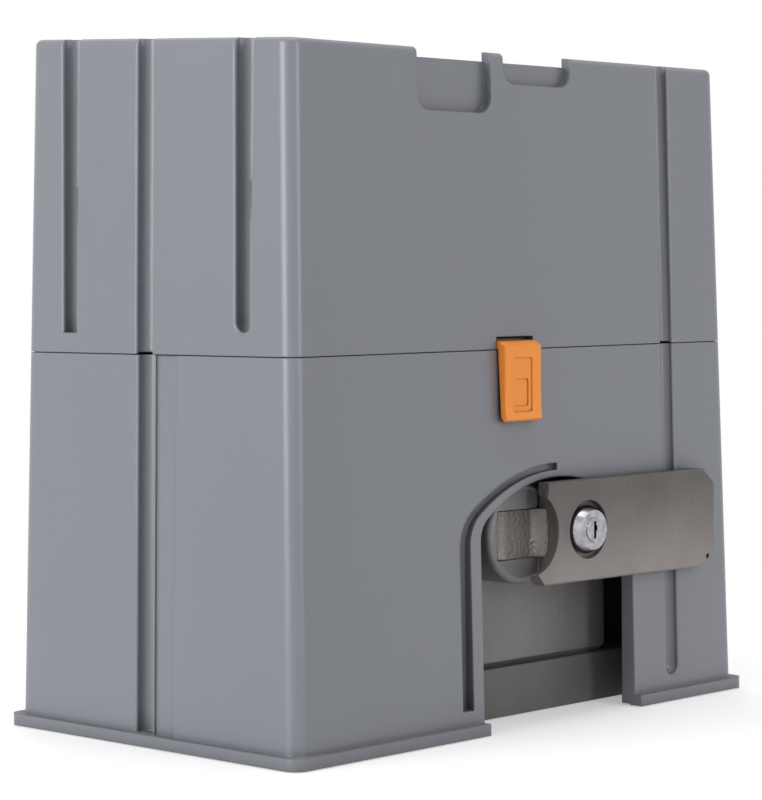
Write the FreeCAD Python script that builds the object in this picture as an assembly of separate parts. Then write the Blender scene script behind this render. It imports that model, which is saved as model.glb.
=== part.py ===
import FreeCAD, Part
import math
import os

os.makedirs("parts", exist_ok=True)
V = FreeCAD.Vector
X, Y, Z = V(1, 0, 0), V(0, 1, 0), V(0, 0, 1)

# Sliding gate motor. Millimetres, +Z up, Z = 0 is the ground under the base.
# The front (release lever side) faces -Y, the gate side with the pinion faces +Y.

# ---- clearances -------------------------------------------------------------
SEAT = 0.02          # pressed or bolted seats, per side
RUN = 0.06           # radial running fit of a shaft in its bore
GAP = 0.3            # free gap between pieces that pass each other
SHELL_GAP = 0.5      # hood over the skirt's lip

# ---- cover (skirt below, lift-off hood above) -------------------------------
FLANGE_X, FLANGE_Y, FLANGE_T = 149.0, 90.2, 5.0
COVER_X, COVER_Y = 145.5, 86.5       # half sizes at the top of the flange
DRAFT = 0.0211                       # mould draft of every wall, mm per mm
COVER_R = 6.5
WALL = 3.0
SEAM_Z = 163.2
SEAL_T, SEAL_IN = 1.0, 1.2
HOOD_Z = SEAM_Z + 0.4                # the hood hangs over the seal, which sits in a rebate
LIP_H = 5.0
ROOF_FRONT, ROOF_REAR = 290.0, 299.0
RIM, ROOF_DROP = 5.0, 4.0            # raised rim round the roof
TOP = ROOF_REAR + 8.0                # cutters reach past the roof
MOUTH_R = 1.1                        # rounding of a channel's two edges
CHANNEL_W, CHANNEL_D = 9.6, 6.2      # vertical stiffening channels
FLUTE_W, FLUTE_D = (8.4, 10.6), (6.6, 7.4)   # flutes: at the bottom, at the roof
SIDE_CHANNEL_Y = 5.0
FLUTES_Y = (-54.4, 53.0)
FLUTE_BOTTOM = 172.0
FRONT_CHANNEL_X, FRONT_W, FRONT_D = 98.4, 8.4, 4.6
POCKETS = [(-66.0, -19.8, 264.0), (-11.8, 33.4, 277.0)]   # hand-hold pockets: X from, X to, floor Z
POCKET_D = 3.6

# ---- arch cut-out in the skirt ----------------------------------------------
ARCH_X, ARCH_HALF, ARCH_SPRING, ARCH_TOP, ARCH_SHOULDER = 18.8, 51.4, 82.0, 107.0, 12.0
ARCH_RIM, ARCH_GROOVE = 6.5, 7.0     # plain rim, then a groove outside it
REAR_HALF, REAR_TOP = 36.0, 116.0    # opening for the output shaft

# ---- latches ----------------------------------------------------------------
LATCHES = {"front": (-7.8, -1), "rear": (7.8, 1)}   # centre in X, outward in Y
LATCH_HALF, LATCH_LOW, LATCH_TOP, LATCH_T = 11.8, 132.4, 167.4, 5.2
LATCH_HINGE_Z, LATCH_HINGE_IN, LATCH_PIN_R = 166.2, 1.8, 1.0
TOOTH_Z0, TOOTH_Z1, TOOTH_HALF, TOOTH_IN = 146.0, 152.0, 6.0, 2.0

# ---- shafts -----------------------------------------------------------------
AXIS_Z = 83.0                        # output shaft, along Y at X = 0
SHAFT_R, TAIL_R = 10.0, 12.5
GEAR_M, WHEEL_T, WORM_R = 2.5, 30, 12.5
WHEEL_R = GEAR_M * WHEEL_T / 2
WORM_X = WHEEL_R + WORM_R            # vertical worm and motor shaft
PINION_M, PINION_T = 4.0, 17
PINION_Y, PINION_W = 87.0, 22.0
KEY_W = 5.0

# ---- base and gear case -----------------------------------------------------
LEDGE_X, DECK_X, BASE_Y = 134.0, 104.0, 62.0
LEDGE_T, DECK_Z = 6.0, 22.0
SLOT_X, SLOT_Y, SLOT_R, SLOT_LEN = 120.0, 48.0, 5.5, 21.0
TAB_X, TAB_Y = 121.0, 18.0
CABLE_X, CABLE_Y, CABLE_R = -84.0, 38.0, 13.0
CASE_X0, CASE_X1, CASE_Y0, CASE_Y1, CASE_TOP = -50.0, 74.0, -60.0, 40.0, 138.0
COVER_T = 8.0
CASE_BOLTS = [(-42.0, -50.0), (66.0, -50.0), (-42.0, 32.0), (66.0, 32.0)]

# ---- release lever ----------------------------------------------------------
BOSS_R, BOSS_Y = 22.0, -80.6
HINGE_X, HINGE_Y, HINGE_R = -10.0, -74.0, 2.5
TONGUE_H = 10.5                      # half height of the tongue
KNUCKLE_R, CAM_LOW, CAM_HIGH = 6.6, 5.0, 8.6
CHEEK_X, LEVER_END = 9.6, 122.0
PLATE_BACK, PLATE_FRONT = -86.6, -92.8
SCOOP_X, SCOOP_Z, SCOOP_R = -8.3, 84.0, 18.0   # arc at the plate's left end
RAMP_R = 7.0
LOCK_X, LOCK_Z, NUT_R, PLUG_R = 30.0, 83.4, 10.5, 5.4

# ---- clutch -----------------------------------------------------------------
CLUTCH_Y, CLUTCH_PIN_Y, DOG_DEPTH = 9.4, 15.0, 3.0
RELEASE = CAM_HIGH - CAM_LOW         # travel of the rod and the sleeve

# ---- motor ------------------------------------------------------------------
MOTOR_R, MOTOR_Z0, MOTOR_Z1 = 50.0, CASE_TOP, 226.0
ROTOR_R, AIR_GAP = 27.4, 0.5

# ---- electrics --------------------------------------------------------------
BRACKET_X, BOARD_X, BOARD_T = -62.0, -74.0, 1.6
BOARD_Y, BOARD_Z0, BOARD_Z1 = 54.0, 92.0, 236.0
STANDOFFS = [(sy * 48.0, z) for sy in (-1, 1) for z in (100.0, 228.0)]
BUTTON_Y, BUTTON_Z, BUTTON_TRAVEL = -4.0, 212.0, 1.2


def save(name, shape):
    shape.exportStep("parts/" + name + ".step")


def cyl(radius, start, length, axis=Z):
    return Part.makeCylinder(radius, length, start, axis)


def ring(outer, inner, start, length, axis=Z):
    extra = axis * 1.0
    return cyl(outer, start, length, axis).cut(cyl(inner, start - extra, length + 2, axis))


def box(x0, x1, y0, y1, z0, z1):
    return Part.makeBox(x1 - x0, y1 - y0, z1 - z0, V(x0, y0, z0))


def prism(points, direction):
    wire = Part.makePolygon(points + [points[0]])
    return Part.Face(wire).extrude(direction)


def fuse(shapes):
    result = shapes[0]
    if len(shapes) > 1:
        result = result.fuse(shapes[1:])
    return result.removeSplitter()


def edges_along(shape, axis, tolerance=0.05):
    found = []
    for edge in shape.Edges:
        step = edge.valueAt(edge.LastParameter) - edge.valueAt(edge.FirstParameter)
        if step.Length > 0.1 and step.cross(axis).Length < tolerance * step.Length:
            found.append(edge)
    return found


def rounded_box(x0, x1, y0, y1, z0, z1, radius, axis=Z):
    block = box(x0, x1, y0, y1, z0, z1)
    return block.makeFillet(radius, edges_along(block, axis))


def moved(shape, step):
    copy = shape.copy()
    copy.translate(step)
    return copy


# ---- cover walls ------------------------------------------------------------
def half_x(z):
    return COVER_X - DRAFT * (z - FLANGE_T)


def half_y(z):
    return COVER_Y - DRAFT * (z - FLANGE_T)


def frustum(z0, z1, inset, radius):
    x0, x1 = half_x(z0) - inset, half_x(z1) - inset
    y0, y1 = half_y(z0) - inset, half_y(z1) - inset
    block = Part.makeWedge(-x0, z0, -y0, -y1, -x1, x0, z1, y0, y1, x1)
    block.rotate(V(0, 0, 0), X, 90)
    return block.makeFillet(radius, edges_along(block, Z, 0.08))


def under_roof(drop):
    low, high, reach = ROOF_FRONT - drop, ROOF_REAR - drop, half_y(ROOF_FRONT)
    slope = (high - low) / (2 * reach)
    far = 200.0
    outline = [V(-far, -far, 0), V(-far, far, 0), V(-far, far, low + slope * (reach + far)),
               V(-far, -far, low + slope * (reach - far))]
    return prism(outline, V(2 * far, 0, 0))


def on_wall(side, u, out, z):
    if side == "front":
        return V(u, -half_y(z) - out, z)
    if side == "rear":
        return V(u, half_y(z) + out, z)
    if side == "left":
        return V(-half_x(z) - out, u, z)
    return V(half_x(z) + out, u, z)


def wall_section(side, centre, out0, half0, out1, half1, z):
    corners = [(centre - half0, out0), (centre + half0, out0),
               (centre + half1, out1), (centre - half1, out1)]
    points = [on_wall(side, u, out, z) for u, out in corners]
    return Part.makePolygon(points + [points[0]])


def channel_profile(width, depth):
    # half of a channel's section as (across, outward) points: lip, wall and round floor
    half = width / 2
    wall_end = -max(MOUTH_R + 0.3, depth - 0.9 * half)
    sag = depth + wall_end
    radius = (half ** 2 + sag ** 2) / (2 * sag)
    turn = math.asin(half / radius) / 2
    floor = (radius * math.sin(turn), radius * (1 - math.cos(turn)) - depth)
    lip = MOUTH_R * (1 - math.sqrt(0.5))
    return [(half + MOUTH_R, 2.0), (half + MOUTH_R, 0.0), (half + lip, -lip), (half, -MOUTH_R),
            (half, wall_end), floor, (0.0, -depth)]


def channel_half(side, centre, width, depth, z, sign):
    corner, top, lip, edge, wall, floor, bottom = [on_wall(side, centre + sign * u, out, z)
                                                   for u, out in channel_profile(width, depth)]
    return [Part.makeLine(corner, top), Part.Arc(top, lip, edge).toShape(), Part.makeLine(edge, wall),
            Part.Arc(wall, floor, bottom).toShape()]


def channel(side, centre, widths, depths, z_low, z_high, round_end=False):
    # a tapered moulded channel with a round floor and softened edges
    start = z_low + (widths[0] / 2 + MOUTH_R if round_end else 0.0)
    sections = []
    for width, depth, z in zip(widths, depths, (start, z_high)):
        right = channel_half(side, centre, width, depth, z, 1)
        left = channel_half(side, centre, width, depth, z, -1)
        across = Part.makeLine(left[0].Vertexes[0].Point, right[0].Vertexes[0].Point)
        sections.append(Part.Wire(Part.__sortEdges__(right + left + [across])))
    groove = Part.makeLoft(sections, True, True)
    if round_end:
        edges = channel_half(side, centre, widths[0], depths[0], start, 1)
        foot, head = on_wall(side, centre, -depths[0], start), on_wall(side, centre, 2.0, start)
        edges += [Part.makeLine(foot, head), Part.makeLine(head, edges[0].Vertexes[0].Point)]
        half_face = Part.Face(Part.Wire(Part.__sortEdges__(edges)))
        groove = groove.fuse(half_face.revolve(head, foot - head, 360))
    return groove


def channel_back(side, centre, width, depth, z_low, z_high):
    # the wall carried round behind a channel, so it keeps its thickness
    half = width / 2 + MOUTH_R + WALL - 1.0
    sections = [wall_section(side, centre, -1.0, half + 0.8, -depth - WALL, half - 0.8, z)
                for z in (z_low, z_high)]
    return Part.makeLoft(sections, True, True)


def wall_block(side, centre, half, depth, z_low, z_high):
    sections = [wall_section(side, centre, 2.0, half, -depth, half, z) for z in (z_low, z_high)]
    return Part.makeLoft(sections, True, True)


def arch(centre, half, spring, top, shoulder, y0, y1, low=-1.0):
    # three-centred arch: straight jambs, tight shoulders and a flat crown
    rise = top - spring
    crown = (half ** 2 - 2 * half * shoulder + rise ** 2) / (2 * (rise - shoulder))
    crown_z = top - crown
    reach_x = half - shoulder
    reach = math.hypot(reach_x, spring - crown_z)
    tangent = V(reach_x / reach * crown, 0, (spring - crown_z) / reach * crown)
    middle = math.atan2(tangent.z, tangent.x) / 2
    shoulder_mid = V(reach_x + shoulder * math.cos(middle), 0, spring + shoulder * math.sin(middle))
    points = []
    for sign in (1, -1):
        points.append([V(centre + sign * half, y0, low), V(centre + sign * half, y0, spring),
                       V(centre + sign * shoulder_mid.x, y0, shoulder_mid.z),
                       V(centre + sign * tangent.x, y0, crown_z + tangent.z)])
    right, left = points
    edges = [Part.makeLine(right[0], right[1]), Part.Arc(right[1], right[2], right[3]).toShape(),
             Part.Arc(right[3], V(centre, y0, top), left[3]).toShape(),
             Part.Arc(left[3], left[2], left[1]).toShape(), Part.makeLine(left[1], left[0]),
             Part.makeLine(left[0], right[0])]
    return Part.Face(Part.Wire(edges)).extrude(V(0, y1 - y0, 0))


def front_arch(offset, y0, y1, low=-1.0):
    return arch(ARCH_X, ARCH_HALF + offset, ARCH_SPRING - offset * 0.2, ARCH_TOP + offset * 0.45,
                ARCH_SHOULDER + offset * 0.6, y0, y1, low)


def skirt():
    outer = frustum(0.0, SEAM_Z, 0.0, COVER_R)
    flange = rounded_box(-FLANGE_X, FLANGE_X, -FLANGE_Y, FLANGE_Y, 0, FLANGE_T, COVER_R)
    body = fuse([outer, flange]).cut(frustum(-1.0, SEAM_Z + 1, WALL, COVER_R - WALL))
    ledge = frustum(154.0, SEAM_Z, 1.0, COVER_R - 1).cut(frustum(153.0, SEAM_Z + 1, 6.4, 3.0))
    lip = frustum(SEAM_Z - 1, SEAM_Z + LIP_H, 4.0, 5.0)
    lip = lip.cut(frustum(SEAM_Z - 2, SEAM_Z + LIP_H + 1, 6.4, 3.0))
    ribs = [channel_back(side, SIDE_CHANNEL_Y - 1, CHANNEL_W, CHANNEL_D, 4.0, SEAM_Z)
            for side in ("left", "right")]
    ribs += [channel_back(side, FRONT_CHANNEL_X, FRONT_W, FRONT_D, 4.0, SEAM_Z)
             for side in ("front", "rear")]
    arch_back = front_arch(ARCH_RIM + ARCH_GROOVE + WALL, -84.0, -half_y(60.0) + 6.4, 0.5)
    arch_back = arch_back.common(frustum(0.0, SEAM_Z, 1.0, COVER_R - 1))
    tabs = [rounded_box(TAB_X - 13 if sx > 0 else -half_x(8) + 1, half_x(8) - 1 if sx > 0 else 13 - TAB_X,
                        sy * TAB_Y - 9, sy * TAB_Y + 9, LEDGE_T, LEDGE_T + 4, 2.0)
            for sx in (1, -1) for sy in (1, -1)]
    inner_block = frustum(0, SEAM_Z, 1.0, 7.0)
    for side, (centre, sign) in LATCHES.items():
        backing = wall_block(side, centre, TOOTH_HALF + 4, 5.0, TOOTH_Z0 - 4, SEAM_Z)
        ribs.append(backing.common(inner_block))
    body = fuse([body, ledge, lip, arch_back] + ribs + tabs)
    cuts = [front_arch(0.0, -95.0, -70.0), cyl(BOSS_R + 1.0, V(0, BOSS_Y - 2.0, AXIS_Z), 30.0, Y)]
    cuts.append(arch(0.0, REAR_HALF, 86.0, REAR_TOP, 20.0, 70.0, 95.0))
    groove = front_arch(ARCH_RIM + ARCH_GROOVE, -95.0, -half_y(60.0) + 3.8, 11.0)
    groove = groove.cut(front_arch(ARCH_RIM, -96.0, -70.0, 5.0))
    cuts.append(groove.common(box(-60, ARCH_X, -96, -70, 11, 130)))
    for side in ("left", "right"):
        cuts.append(channel(side, SIDE_CHANNEL_Y - 1, (CHANNEL_W, CHANNEL_W), (CHANNEL_D, CHANNEL_D),
                            FLANGE_T, SEAM_Z + LIP_H + 1))
    shallow = [wall_section("left", SIDE_CHANNEL_Y - 13 - k, 2.0, 5.5 + k, -0.9, 5.5 + k, z)
               for k, z in ((0, FLANGE_T), (1, SEAM_Z + 1))]
    cuts.append(Part.makeLoft(shallow, True, True))
    for side in ("front", "rear"):
        cuts.append(channel(side, FRONT_CHANNEL_X, (FRONT_W, FRONT_W), (FRONT_D, FRONT_D), 10.0,
                            SEAM_Z + LIP_H + 1, True))
    # the lip is left out behind each channel of the hood, so the hood comes down over it
    notch = CHANNEL_W / 2 + WALL + 1.5
    for side in ("left", "right"):
        cuts.append(wall_block(side, SIDE_CHANNEL_Y, notch, 10.0, SEAM_Z, SEAM_Z + LIP_H + 1))
    for side in ("front", "rear"):
        cuts.append(wall_block(side, FRONT_CHANNEL_X, notch, 10.0, SEAM_Z, SEAM_Z + LIP_H + 1))
    # latch channels stay open at the top, so the hood lifts straight off
    for side, (centre, sign) in LATCHES.items():
        half = TOOTH_HALF + 1.0
        cuts.append(Part.makeLoft([wall_section(side, centre, 2.0, half, -TOOTH_IN - 0.5, half, z)
                                   for z in (TOOTH_Z0 - 0.6, SEAM_Z + 0.01)], True, True))
    for sx in (1, -1):
        for sy in (1, -1):
            cuts.append(cyl(2.7, V(sx * TAB_X, sy * TAB_Y, 0), 20))
    return body.cut(cuts)


def rim_seal():
    strip = frustum(SEAM_Z + SEAT, SEAM_Z + SEAL_T, SEAL_IN + 0.2, COVER_R - SEAL_IN)
    strip = strip.cut(frustum(SEAM_Z - 1, SEAM_Z + SEAL_T + 1, 3.4, COVER_R - 3.4))
    for side, (centre, sign) in LATCHES.items():
        half = LATCH_HALF + 1.2
        y_wall = sign * half_y(SEAM_Z)
        strip = strip.cut(box(centre - half, centre + half, min(y_wall, y_wall - sign * 9) - 2,
                              max(y_wall, y_wall - sign * 9) + 2, SEAM_Z - 1, SEAM_Z + 3))
    for side in ("left", "right"):
        strip = strip.cut(wall_block(side, SIDE_CHANNEL_Y, CHANNEL_W / 2 + 1, 9.0, SEAM_Z - 1, SEAM_Z + 3))
    for side in ("front", "rear"):
        strip = strip.cut(wall_block(side, FRONT_CHANNEL_X, CHANNEL_W / 2, 9.0, SEAM_Z - 1, SEAM_Z + 3))
    return strip


def flutes():
    cuts = []
    for side in ("left", "right"):
        cuts.append(channel(side, SIDE_CHANNEL_Y, (CHANNEL_W, CHANNEL_W), (CHANNEL_D, CHANNEL_D),
                            HOOD_Z - 1, TOP))
        for k, y in enumerate(FLUTES_Y):
            cuts.append(channel(side, y, FLUTE_W, FLUTE_D, FLUTE_BOTTOM, TOP, k == 0))
    for side in ("front", "rear"):
        cuts.append(channel(side, FRONT_CHANNEL_X, (FRONT_W, FRONT_W), (FRONT_D, FRONT_D + 0.8),
                            HOOD_Z - 1, TOP))
    return cuts


def pocket_cutters(roof):
    # a shallow hand-hold in the wall, with the rim taken off above it
    cuts = []
    for side in ("front", "rear"):
        for x0, x1, low in POCKETS:
            y_floor = -half_y(ROOF_FRONT) + POCKET_D
            pocket = rounded_box(x0, x1, y_floor - 12, y_floor, low, TOP, 7.0, Y)
            gap = box(x0, x1, y_floor - 12, y_floor - POCKET_D + RIM + 0.6, low, TOP)
            if side == "rear":
                pocket.rotate(V(0, 0, 0), Z, 180)
                gap.rotate(V(0, 0, 0), Z, 180)
            cuts += [pocket, gap.cut(roof)]
    return cuts


def flute_backs():
    backs = []
    for side in ("left", "right"):
        backs.append(channel_back(side, SIDE_CHANNEL_Y, CHANNEL_W, CHANNEL_D, HOOD_Z, TOP))
        for y in FLUTES_Y:
            backs.append(channel_back(side, y, FLUTE_W[1], FLUTE_D[1], FLUTE_BOTTOM - 3, TOP))
    for side in ("front", "rear"):
        backs.append(channel_back(side, FRONT_CHANNEL_X, FRONT_W, FRONT_D + 0.8, HOOD_Z, TOP))
    return backs


def pocket_backs():
    backs = []
    for x0, x1, low in POCKETS:
        y_floor = -half_y(ROOF_FRONT) + POCKET_D
        front = box(x0 - 3, x1 + 3, y_floor - 4, y_floor + WALL, low - 3, TOP)
        rear = front.copy()
        rear.rotate(V(0, 0, 0), Z, 180)
        backs += [front, rear]
    return backs


def hood():
    roof = under_roof(ROOF_DROP)
    outer = frustum(HOOD_Z, TOP, 0.0, COVER_R).common(under_roof(0.0))
    rim_edges = [edge for edge in outer.Edges if edge.BoundBox.ZMin > ROOF_FRONT - 4]
    outer = outer.makeFillet(2.8, rim_edges)
    behind = flute_backs()
    # the roof lies below the rim, and the rim follows each channel round
    dish = frustum(ROOF_FRONT - 20, TOP + 10, RIM, 4.0).cut([roof] + behind)
    inner = frustum(HOOD_Z - 1, TOP, WALL, COVER_R - WALL).common(under_roof(ROOF_DROP + WALL))
    shell = outer.cut([dish, inner])
    backs = fuse(behind + pocket_backs()).common(frustum(HOOD_Z, TOP, 1.0, COVER_R - 1))
    shell = fuse([shell, backs.common(under_roof(ROOF_DROP + 1))])
    cuts = flutes() + pocket_cutters(roof)
    cuts.append(frustum(HOOD_Z - 1, SEAM_Z + SEAL_T + SEAT, SEAL_IN, COVER_R - SEAL_IN))
    lugs = []
    for side, (centre, sign) in LATCHES.items():
        y_wall = sign * half_y(HOOD_Z)
        low, high = sorted((y_wall + sign * 3, y_wall - sign * 7))
        half = LATCH_HALF + GAP
        cuts.append(box(centre - half, centre + half, low, high, HOOD_Z - 2, LATCH_TOP + 1.5))
        pin_start = V(centre - half - 4.2, latch_axis_y(side), LATCH_HINGE_Z)
        cuts.append(cyl(LATCH_PIN_R + SEAT, pin_start, 2 * half + 8.4, X))
        for sx in (-1, 1):
            x0 = centre + sx * (half + 2.5)
            low, high = sorted((y_wall - sign * 1.0, y_wall - sign * 3.5))
            lugs.append(box(x0 - 2.5, x0 + 2.5, low, high, HOOD_Z + SEAL_T, LATCH_TOP + 4))
    shell = fuse([shell] + lugs)
    return shell.cut(cuts)


def latch_axis_y(side):
    return LATCHES[side][1] * (half_y(LATCH_HINGE_Z) - LATCH_HINGE_IN)


def latch(side):
    # built on the front wall, then turned round for the rear one
    middle = LATCHES[side][0] * -LATCHES[side][1]
    profile = [(-3.0, LATCH_TOP - 0.6), (-1.4, LATCH_TOP), (2.4, LATCH_TOP - 0.6), (LATCH_T, LATCH_TOP - 2.4),
               (LATCH_T - 0.6, LATCH_LOW + 7.0), (LATCH_T, LATCH_LOW + 1.0), (2.8, LATCH_LOW),
               (1.6, LATCH_LOW + 1.2), (0.7, SEAM_Z - 2.0), (0.7, SEAM_Z + 0.2), (-1.2, HOOD_Z + 0.4),
               (-3.0, HOOD_Z + 0.6)]
    body = prism([on_wall("front", 0, out, z) for out, z in profile], V(2 * LATCH_HALF, 0, 0))
    body.translate(V(middle - LATCH_HALF, 0, 0))
    outside = -half_y(LATCH_TOP) - 2.0
    corners = [e for e in body.Edges if e.BoundBox.XLength < 0.01 and e.BoundBox.YMax < outside]
    body = body.makeFillet(1.1, corners)
    y_front = -half_y(150.0) - LATCH_T
    panel = rounded_box(middle - 7.6, middle + 5.4, y_front - 4, y_front + 0.9, 136.5, 160.0, 1.5, Y)
    inset = rounded_box(middle - 5.4, middle + 3.4, y_front - 4, y_front + 1.5, 139.0, 151.0, 1.2, Y)
    tooth = Part.makeLoft([wall_section("front", middle, 1.6, TOOTH_HALF, -TOOTH_IN, TOOTH_HALF, z)
                           for z in (TOOTH_Z0, TOOTH_Z1)], True, True)
    body = fuse([body.cut([panel, inset]), tooth])
    y_pin = latch_axis_y("front")
    body = body.cut(cyl(LATCH_PIN_R + RUN, V(middle - 20, y_pin, LATCH_HINGE_Z), 40, X))
    if side == "rear":
        body.rotate(V(0, 0, 0), Z, 180)
    return body


def latch_pin(side):
    half = LATCH_HALF + GAP + 4.0
    return cyl(LATCH_PIN_R, V(LATCHES[side][0] - half, latch_axis_y(side), LATCH_HINGE_Z), 2 * half, X)


# ---- base -------------------------------------------------------------------
def base_frame():
    ledge = rounded_box(-LEDGE_X, LEDGE_X, -BASE_Y, BASE_Y, 0, LEDGE_T, 10.0)
    deck = rounded_box(-DECK_X, DECK_X, -BASE_Y, BASE_Y, 0, DECK_Z, 8.0)
    base = fuse([ledge, deck])
    hollow = box(-DECK_X + 6, DECK_X - 6, -BASE_Y + 6, BASE_Y - 6, -1, DECK_Z - 6)
    ribs = [box(x - 2, x + 2, -BASE_Y, BASE_Y, 0, DECK_Z) for x in (-56.0, 0.0, 56.0)]
    ribs.append(box(-DECK_X, DECK_X, -4, 0, 0, DECK_Z))
    ribs += [cyl(8.6, V(x, y, 0), DECK_Z - 1) for x, y in CASE_BOLTS]
    cable_post = cyl(CABLE_R + 6.0, V(CABLE_X, CABLE_Y, 0), DECK_Z)
    hollow = hollow.cut(fuse(ribs + [cable_post]))
    base = base.cut(hollow)
    base = fuse([base, cyl(CABLE_R + 3.0, V(CABLE_X, CABLE_Y, DECK_Z - 1), 6.0)])
    cuts = [cyl(CABLE_R, V(CABLE_X, CABLE_Y, -1), 40)]
    for x, y in CASE_BOLTS:
        cuts += [cyl(3.0 + SEAT, V(x, y, -1), 40), cyl(6.5, V(x, y, -1), 13.0)]
    for sx in (1, -1):
        for sy in (1, -1):
            run = SLOT_LEN / 2 - SLOT_R
            slot = box(sx * SLOT_X - run, sx * SLOT_X + run,
                       sy * SLOT_Y - SLOT_R, sy * SLOT_Y + SLOT_R, -1, 40)
            ends = [cyl(SLOT_R, V(sx * SLOT_X + end, sy * SLOT_Y, -1), 41) for end in (-run, run)]
            cuts.append(fuse([slot] + ends))
            cuts.append(cyl(1.6 + SEAT, V(sx * TAB_X, sy * TAB_Y, -1), 40))
    return base.cut(cuts)


def skirt_screws():
    screws = []
    for sx in (1, -1):
        for sy in (1, -1):
            foot = V(sx * TAB_X, sy * TAB_Y, 0.6)
            top = V(sx * TAB_X, sy * TAB_Y, LEDGE_T + 4)
            screws.append(fuse([cyl(1.58, foot, top.z), cyl(4.4, top, 2.6)]).cut(
                cyl(1.6, top + V(0, 0, 1.2), 3)))
    return Part.makeCompound(screws)


def case_bolts():
    bolts = []
    for x, y in CASE_BOLTS:
        bolts.append(fuse([cyl(5.0, V(x, y, 7.0), 5.0), cyl(3.0, V(x, y, 11.0), 23.0)]).cut(
            cyl(2.4, V(x, y, 5.0), 4.5)))
    return Part.makeCompound(bolts)


# ---- gear case --------------------------------------------------------------
def tongue_room():
    # slot for the lever's tongue, closed at its left end round the knuckle
    half = TONGUE_H + GAP
    slot = box(HINGE_X - KNUCKLE_R - GAP, 40.0, BOSS_Y - 5, -61.5, AXIS_Z - half, AXIS_Z + half)
    sweep = cyl(CAM_HIGH + 0.65, V(HINGE_X, HINGE_Y, AXIS_Z - half), 2 * half)
    return slot.fuse(sweep)


def gear_case():
    foot = rounded_box(CASE_X0, CASE_X1, CASE_Y0, CASE_Y1, DECK_Z, 58.0, 5.0)
    foot = foot.makeChamfer(2.5, [e for e in foot.Edges if e.BoundBox.ZMax < DECK_Z + 0.1])
    upper = rounded_box(CASE_X0, CASE_X1, -34.0, CASE_Y1, 50.0, CASE_TOP, 5.0)
    front = rounded_box(CASE_X0 + 8, CASE_X1 - 4, CASE_Y0, -30.0, 50.0, 116.0, 5.0)
    apron = rounded_box(CASE_X1 - 12, CASE_X1 + 10, CASE_Y0, -38.0, DECK_Z, 100.0, 5.0)
    apron = apron.makeChamfer(2.5, [e for e in apron.Edges if e.BoundBox.ZMax < DECK_Z + 0.1])
    boss = cyl(BOSS_R, V(0, BOSS_Y, AXIS_Z), 30.0, Y)
    rounded = [e for e in boss.Edges if e.BoundBox.YMax < BOSS_Y + 0.1]
    boss = boss.makeFillet(3.0, rounded)
    column = cyl(26.0, V(WORM_X, 0, 60.0), CASE_TOP - 60.0)
    case = fuse([foot, upper, front, apron, boss, column])
    cuts = [cyl(WHEEL_R + GEAR_M + 3, V(0, -26.0, AXIS_Z), 80.0, Y)]
    cuts.append(cyl(WORM_R + GEAR_M + 2.5, V(WORM_X, 0, 40.0), 77.0))
    cuts.append(cyl(13.0 + SEAT, V(WORM_X, 0, 30.0), 20.0))
    cuts.append(cyl(12.0, V(WORM_X, 0, 100.0), 20.0))
    cuts.append(cyl(17.5 + SEAT, V(0, -46.0, AXIS_Z), 40.0, Y))
    cuts.append(cyl(8.0, V(0, -50.0, AXIS_Z), 10.0, Y))
    cuts.append(cyl(3.0 + RUN, V(0, -70.0, AXIS_Z), 40.0, Y))
    cuts.append(cyl(16.0 + SEAT, V(WORM_X, 0, 118.0), 40.0))
    cuts.append(box(-36.0, 58.0, -54.0, -40.0, DECK_Z - 2, 58.0))
    cuts.append(tongue_room())
    cuts.append(box(CHEEK_X, 40.0, BOSS_Y - 5, -66.0, AXIS_Z - 30, AXIS_Z + 30))
    cuts.append(cyl(HINGE_R + SEAT, V(HINGE_X, HINGE_Y, AXIS_Z - 17.0), 40.0))
    for x, y in CASE_BOLTS:
        cuts.append(cyl(3.0 + SEAT, V(x, y, DECK_Z - 1), 14.0))
    for x, z in cover_screw_places():
        cuts.append(cyl(2.5 + SEAT, V(x, CASE_Y1 - 12, z), 14.0, Y))
    for x, y in motor_bolt_places():
        cuts.append(cyl(2.5 + SEAT, V(x, y, CASE_TOP - 12), 14.0))
    cuts.append(cyl(6.0 + SEAT, V(CASE_X0 - 1, 10.0, 112.0), 14.0, X))
    return case.cut(cuts)


def cover_screw_places():
    xs, zs = (CASE_X0 + 6, CASE_X1 - 6), (DECK_Z + 22, 82.0, CASE_TOP - 18)
    return [(x, z) for x in xs for z in zs]


def motor_bolt_places():
    return [(WORM_X + sx * 22.0, sy * 30.0) for sx in (-1, 1) for sy in (-1, 1)]


def case_cover():
    y0, y1 = CASE_Y1, CASE_Y1 + COVER_T
    plate = rounded_box(CASE_X0, CASE_X1, y0, y1, DECK_Z + 2.5, CASE_TOP, 5.0, Y)
    boss = cyl(32.0, V(0, y0, AXIS_Z), 32.0, Y)
    boss = boss.makeFillet(3.0, [e for e in boss.Edges if e.BoundBox.YMin > y0 + 31])
    ribs = []
    for k in range(6):
        rib = box(28.0, 40.0, y1 - 1, y1 + 14.0, -2.0, 2.0)
        rib = rib.cut(prism([V(41, y1, -3), V(41, y1 + 15, -3), V(32, y1 + 15, -3)], V(0, 0, 6)))
        rib.rotate(V(0, 0, 0), Y, 60 * k + 30)
        ribs.append(moved(rib, V(0, 0, AXIS_Z)))
    cover = fuse([plate, boss] + ribs)
    cuts = [cyl(26.0 + SEAT, V(0, y0 - 1, AXIS_Z), 17.0, Y), cyl(18.0, V(0, y0, AXIS_Z), 30.0, Y)]
    cuts.append(cyl(24.0 + SEAT, V(0, 62.0, AXIS_Z), 20.0, Y))
    for x, z in cover_screw_places():
        cuts.append(cyl(2.5 + SEAT, V(x, y0 - 1, z), 20.0, Y))
    return cover.cut(cuts)


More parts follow.
